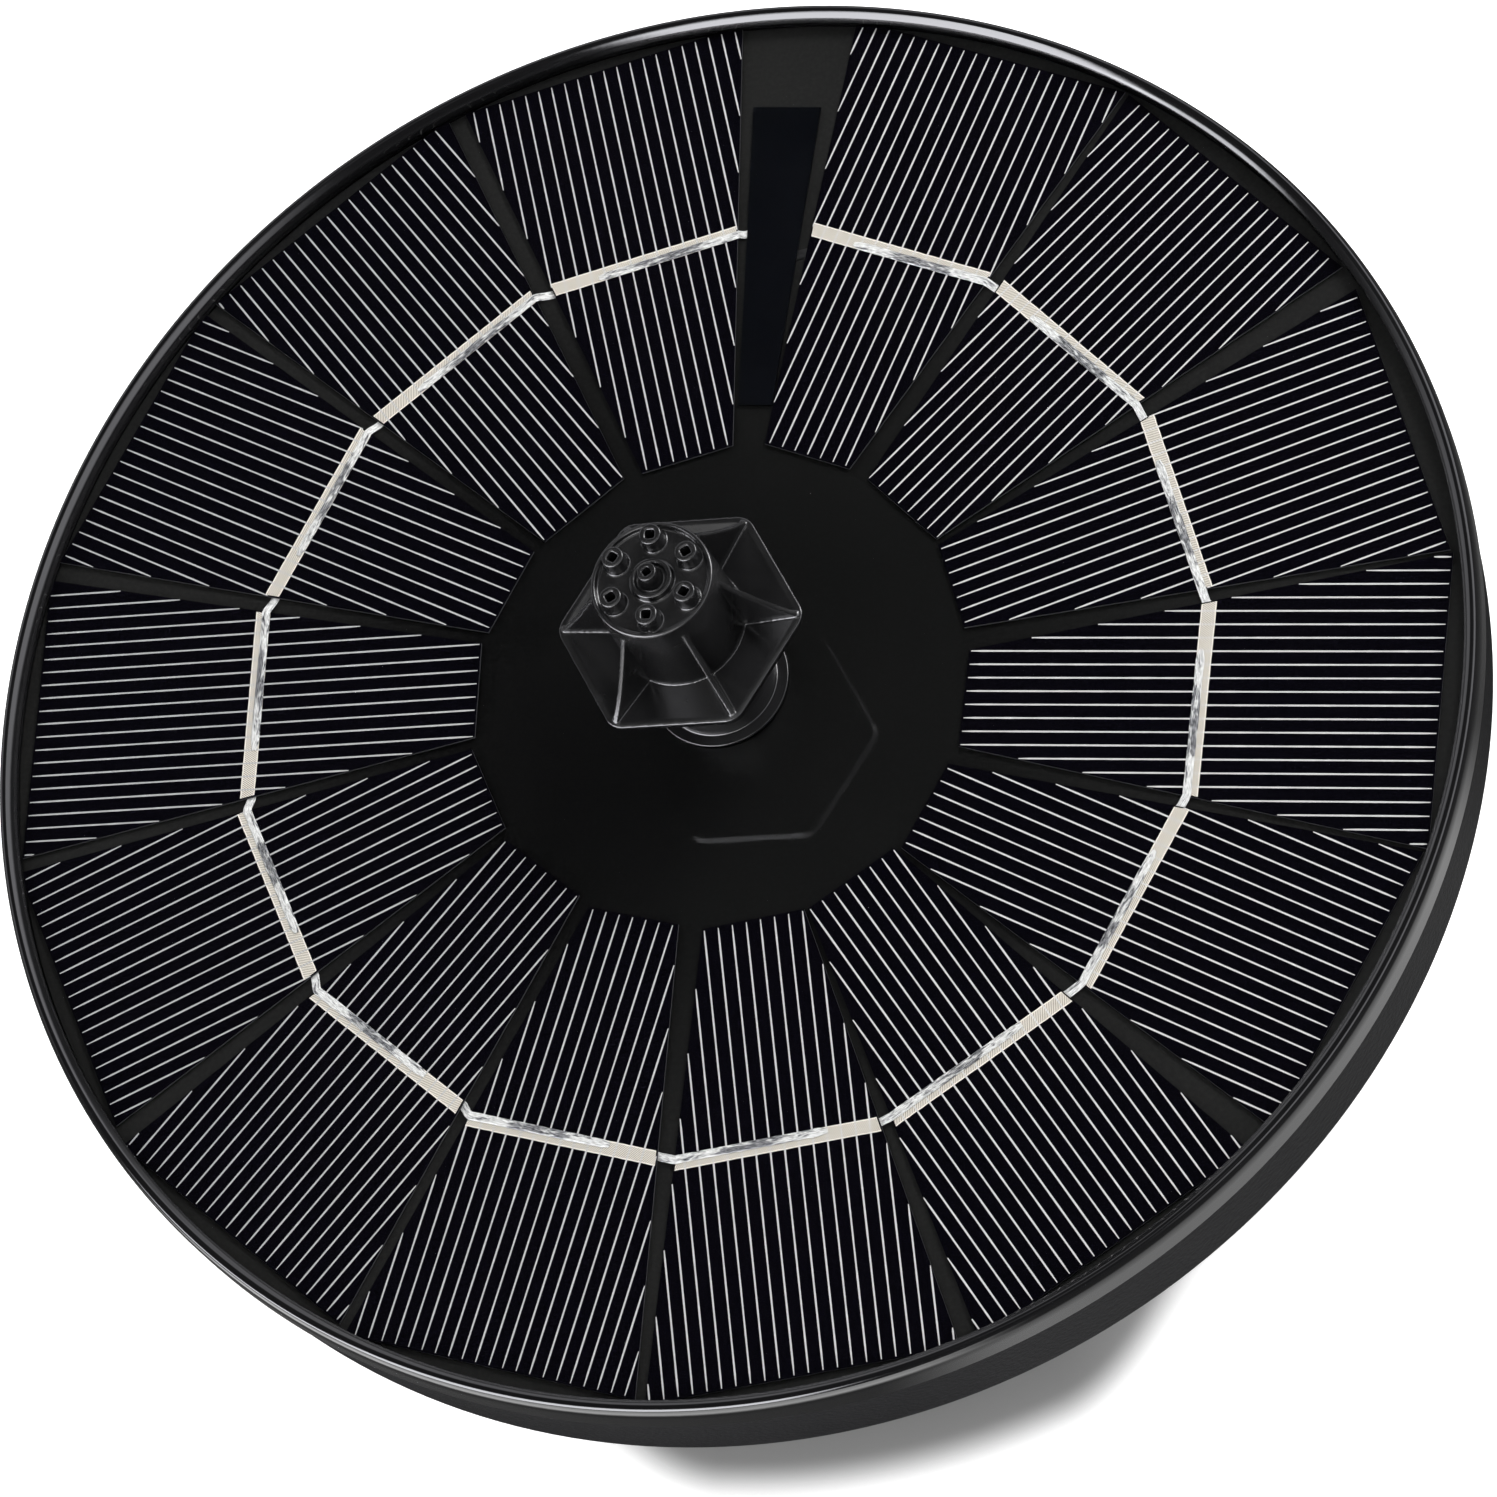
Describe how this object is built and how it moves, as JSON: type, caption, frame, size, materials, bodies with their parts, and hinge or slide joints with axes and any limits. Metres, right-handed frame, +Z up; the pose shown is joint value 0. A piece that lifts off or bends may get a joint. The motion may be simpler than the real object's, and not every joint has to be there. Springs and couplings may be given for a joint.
{
  "type": "floating solar fountain pump",
  "caption": "Round solar-panel raft with a submersible pump under it and a removable jet nozzle in the centre, for floating in a bird bath or pond.",
  "frame": {"origin": "centre of the strainer cover's underside, the face the object stands on, on the pump axis", "axes": "+Z up along the pump and nozzle axis; +Y towards the wide gap between the first and last solar cell; +X to the right of it"},
  "size_m": [0.167, 0.167, 0.066],
  "materials": {
    "solar_cell": "near-black silicon with a slight blue tint",
    "tinned_ribbon": "bright solder-coated ribbon, mottled",
    "textured_black_plastic": "fine spark-eroded texture, matte",
    "gloss_black_plastic": "high gloss",
    "panel_backing": "dark charcoal film under gloss laminate",
    "clear_laminate": "clear, polished",
    "insulating_strip": "blue-black, smooth",
    "wire_red": "insulated wire with a tinned tab",
    "wire_black": "insulated wire with a tinned tab",
    "pump_plastic": "satin",
    "strainer_plastic": "satin, lightly grained",
    "nozzle_plastic": "satin",
    "seal_rubber": "soft matte",
    "electrical_steel": "stamped laminations",
    "copper_winding": "enamelled copper wire",
    "circuit_board": "solder mask",
    "ceramic_bearing": "polished ceramic",
    "ferrite": "ground ferrite",
    "impeller_plastic": "natural acetal",
    "filter_foam": "open-cell foam",
    "stainless_screw": "stainless, cross recess"
  },
  "bodies": {
    "raft": {"bottom_bush": "ceramic_bearing", "cell_01": "solar_cell", "cell_02": "solar_cell", "cell_03": "solar_cell", "cell_04": "solar_cell", "cell_05": "solar_cell", "cell_06": "solar_cell", "cell_07": "solar_cell", "cell_08": "solar_cell", "cell_09": "solar_cell", "cell_10": "solar_cell", "cell_11": "solar_cell", "cell_12": "solar_cell", "cell_13": "solar_cell", "cell_14": "solar_cell", "clear_cover": "clear_laminate", "coil_1": "copper_winding", "coil_2": "copper_winding", "coil_3": "copper_winding", "coil_4": "copper_winding", "controller_board": "circuit_board", "gap_strip": "insulating_strip", "housing_seal": "seal_rubber", "hull_bowl": "textured_black_plastic", "lead_negative": "wire_black", "lead_positive": "wire_red", "outlet_duct": "pump_plastic", "outlet_seal": "seal_rubber", "panel_board": "panel_backing", "panel_frame": "gloss_black_plastic", "pump_housing": "pump_plastic", "ribbon_01": "tinned_ribbon", "ribbon_02": "tinned_ribbon", "ribbon_03": "tinned_ribbon", "ribbon_04": "tinned_ribbon", "ribbon_05": "tinned_ribbon", "ribbon_06": "tinned_ribbon", "ribbon_07": "tinned_ribbon", "ribbon_08": "tinned_ribbon", "ribbon_09": "tinned_ribbon", "ribbon_10": "tinned_ribbon", "ribbon_11": "tinned_ribbon", "ribbon_12": "tinned_ribbon", "ribbon_13": "tinned_ribbon", "ribbon_14": "tinned_ribbon", "screw_1": "stainless_screw", "screw_2": "stainless_screw", "screw_3": "stainless_screw", "screw_4": "stainless_screw", "shaft": "ceramic_bearing", "stator_core": "electrical_steel", "top_bush": "ceramic_bearing", "volute_cover": "pump_plastic"},
    "rotor": {"rotor_magnet": "ferrite", "impeller": "impeller_plastic"},
    "strainer": {"strainer_cover": "strainer_plastic", "sponge_filter": "filter_foam"},
    "nozzle_stem": {"nozzle_stem": "nozzle_plastic"},
    "nozzle_head": {"nozzle_head": "nozzle_plastic"}
  },
  "joints": [
    {"name": "rotor_spin", "type": "hinge", "parent": "raft", "child": "rotor", "pos_m": [0, 0, 0.018], "axis": [0, 0, 1], "continuous": true},
    {"name": "strainer_off", "type": "slide", "parent": "raft", "child": "strainer", "axis": [0, 0, -1], "range_m": [0, 0.02]},
    {"name": "nozzle_off", "type": "slide", "parent": "raft", "child": "nozzle_stem", "axis": [0, 0, 1], "range_m": [0, 0.012]},
    {"name": "nozzle_turn", "type": "hinge", "parent": "nozzle_stem", "child": "nozzle_head", "pos_m": [0, 0, 0.051], "axis": [0, 0, 1], "continuous": true}
  ]
}
